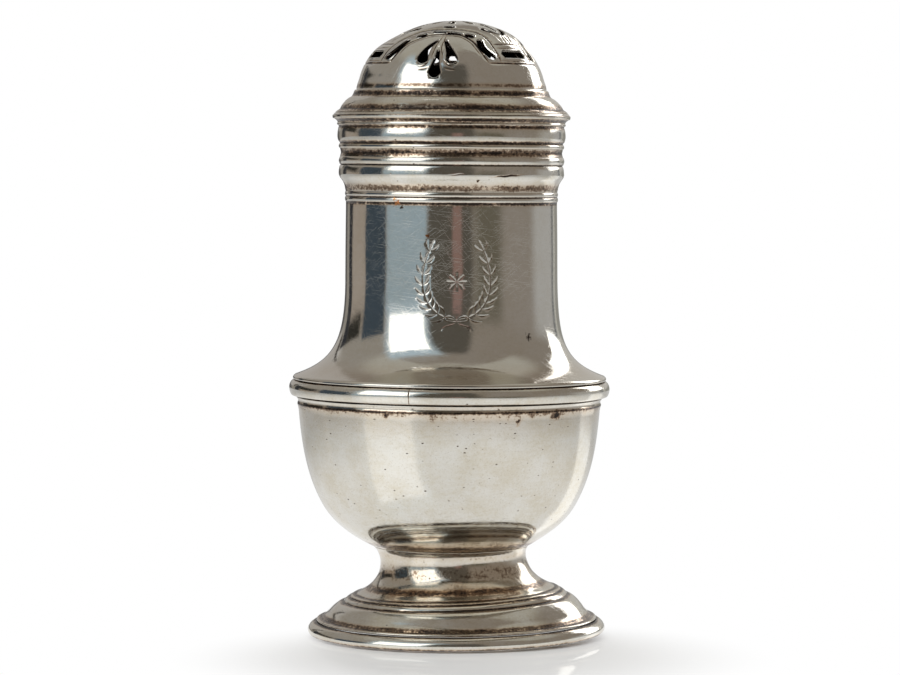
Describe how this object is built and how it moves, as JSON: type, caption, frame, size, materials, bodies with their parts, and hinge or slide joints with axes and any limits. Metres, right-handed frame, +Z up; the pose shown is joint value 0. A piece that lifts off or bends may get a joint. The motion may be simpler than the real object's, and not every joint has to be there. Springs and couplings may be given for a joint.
{
  "type": "spice caster",
  "caption": "Vase-shaped silver caster on a spreading foot, with a wired waist and a pull-off pierced domed cover for shaking out ground spice.",
  "frame": {"origin": "middle of the foot's underside, on the caster's axis", "axes": "+Z up along the caster's axis, from the foot to the pierced cover; -Y towards the front of the pictured side"},
  "size_m": [0.0498, 0.05, 0.095],
  "materials": {
    "polished_silver": "old silver, hand polished, with fine scratches",
    "satin_silver": "old silver, softly worn, with fine pits",
    "tarnished_silver": "old silver mouldings with brown tarnish in the hollows"
  },
  "bodies": {
    "body": {"foot_rim_wire": "tarnished_silver", "foot_dome": "tarnished_silver", "foot_stem": "tarnished_silver", "bowl": "satin_silver", "girdle_wire": "tarnished_silver", "upper_body": "polished_silver", "neck_wire": "tarnished_silver"},
    "cover": {"cover_sleeve": "tarnished_silver", "sleeve_edge_wire": "tarnished_silver", "sleeve_band": "tarnished_silver", "cover_flange_wire": "tarnished_silver", "cover_shoulder": "tarnished_silver", "cover_dome": "polished_silver"}
  },
  "joints": [
    {"name": "cover_lift", "type": "slide", "parent": "body", "child": "cover", "axis": [0, 0, 1], "range_m": [0, 0.04]}
  ]
}
